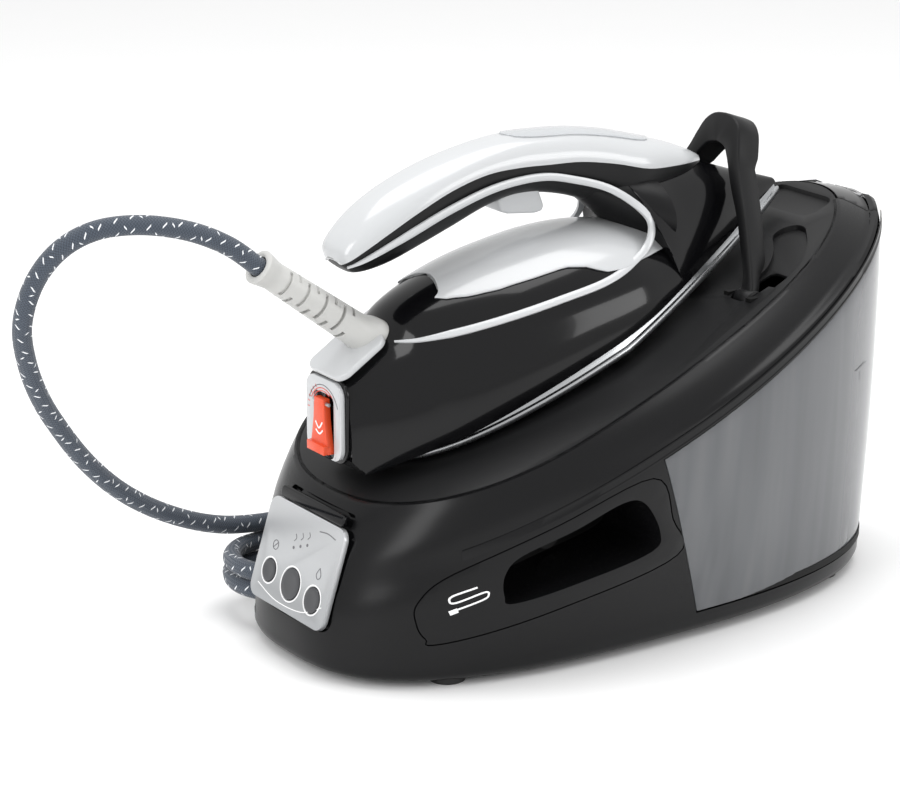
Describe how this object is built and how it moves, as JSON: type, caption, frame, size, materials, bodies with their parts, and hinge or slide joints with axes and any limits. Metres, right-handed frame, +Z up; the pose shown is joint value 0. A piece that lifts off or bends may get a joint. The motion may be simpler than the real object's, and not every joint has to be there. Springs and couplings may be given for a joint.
{
  "type": "steam generator iron",
  "caption": "Steam generator iron: a wedge-shaped base with a pull-out water tank and boiler, a lock hoop, and an iron resting on its sloping top, joined by a braided steam hose",
  "frame": {"origin": "on the table under the middle of the base, halfway along its length", "axes": "+X from the control panel to the water tank, +Y to the side where the steam hose is stored, +Z up"},
  "size_m": [0.5294, 0.233, 0.2769],
  "materials": {
    "black_shell": "satin black moulded plastic",
    "black_gloss": "piano black",
    "dark_plastic": "fine grain dark grey plastic",
    "grey_plastic": "dark grey plastic",
    "white_gloss": "white gloss plastic",
    "light_grey": "pale grey plastic",
    "smoke_clear": "smoked see-through tank plastic",
    "lens": "translucent grey lens",
    "silver_panel": "silver panel, soft gradient",
    "red_plastic": "red-orange plastic",
    "rubber": "black rubber",
    "silicone": "heat-proof silicone",
    "sole_metal": "polished soleplate",
    "cast_metal": "bare cast aluminium",
    "boiler_steel": "stainless boiler",
    "steel": "plain steel",
    "brass": "turned brass",
    "board": "printed circuit board",
    "ceramic": "ivory thermoplastic",
    "braid": "slate textile braid with pale flecks"
  },
  "bodies": {
    "base": {"base_plate": "dark_plastic", "feet": "rubber", "base_screws": "steel", "body_shell": "black_shell", "top_cover": "black_shell", "iron_rest": "dark_plastic", "rest_pads": "silicone", "bay_bulkhead": "dark_plastic", "cord_bay": "dark_plastic", "mains_gland": "rubber", "hose_bay": "dark_plastic", "hose_gland": "brass", "control_panel": "silver_panel", "panel_strip": "black_gloss", "button_board": "board", "control_board": "board", "terminal_block": "ceramic", "boiler": "boiler_steel", "boiler_brackets": "steel", "boiler_element": "steel", "thermal_cutout": "ceramic", "pump": "dark_plastic", "pump_mount": "rubber", "steam_valve": "brass", "steam_pipe": "steel", "water_tube": "silicone", "tank_coupling": "rubber", "hoop_brackets": "dark_plastic", "hoop_pins": "steel", "steam_hose": "braid"},
    "tank": {"water_tank": "smoke_clear", "tank_roof": "dark_plastic", "tank_valve": "white_gloss", "lid_pin": "steel"},
    "lid": {"tank_lid": "black_gloss"},
    "hoop": {"lock_hoop": "dark_plastic"},
    "iron": {"soleplate": "sole_metal", "steam_chamber": "cast_metal", "iron_element": "steel", "iron_thermostat": "ceramic", "iron_shell": "black_gloss", "saddle_panel": "white_gloss", "side_trim": "white_gloss", "handle_grip": "dark_plastic", "handle_cover": "white_gloss", "indicator_lens": "lens", "trigger_switch": "grey_plastic", "heel_plate": "white_gloss", "collector_seal": "silicone", "strain_relief": "white_gloss"},
    "collector": {"scale_collector": "white_gloss", "lever_pin": "steel"},
    "lever": {"collector_lever": "red_plastic"},
    "trigger": {"steam_trigger": "light_grey"},
    "power": {"power_button": "grey_plastic"},
    "mode": {"mode_button": "grey_plastic"},
    "descale": {"descale_button": "grey_plastic"}
  },
  "joints": [
    {"name": "iron_lift", "type": "slide", "parent": "base", "child": "iron", "axis": [-0.9588, 0, 0.284], "range_m": [0, 0.25], "deforming": ["steam_hose"]},
    {"name": "hoop_swing", "type": "hinge", "parent": "base", "child": "hoop", "pos_m": [0.07, 0, 0.176], "axis": [0, 1, 0], "range_deg": [0, 10]},
    {"name": "tank_slide", "type": "slide", "parent": "base", "child": "tank", "axis": [1, 0, 0], "range_m": [0, 0.24]},
    {"name": "tank_lid_hinge", "type": "hinge", "parent": "tank", "child": "lid", "pos_m": [0.1885, 0, 0.2124], "axis": [0, 1, 0], "range_deg": [0, 70]},
    {"name": "trigger_pull", "type": "slide", "parent": "iron", "child": "trigger", "axis": [-0.3665, 0, 0.9304], "range_m": [0, 0.004], "stiffness_N_per_m": 300, "springref_m": -0.001},
    {"name": "collector_pull", "type": "slide", "parent": "iron", "child": "collector", "axis": [-0.9304, 0, -0.3665], "range_m": [0, 0.08]},
    {"name": "collector_lever_swing", "type": "hinge", "parent": "collector", "child": "lever", "pos_m": [-0.1747, 0, 0.144], "axis": [0, 1, 0], "range_deg": [0, 55]},
    {"name": "power_press", "type": "slide", "parent": "base", "child": "power", "axis": [0.952, 0, -0.306], "range_m": [0, 0.0015], "stiffness_N_per_m": 400, "springref_m": -0.0005},
    {"name": "mode_press", "type": "slide", "parent": "base", "child": "mode", "axis": [0.952, 0, -0.306], "range_m": [0, 0.0015], "stiffness_N_per_m": 400, "springref_m": -0.0005},
    {"name": "descale_press", "type": "slide", "parent": "base", "child": "descale", "axis": [0.952, 0, -0.306], "range_m": [0, 0.0015], "stiffness_N_per_m": 400, "springref_m": -0.0005}
  ]
}
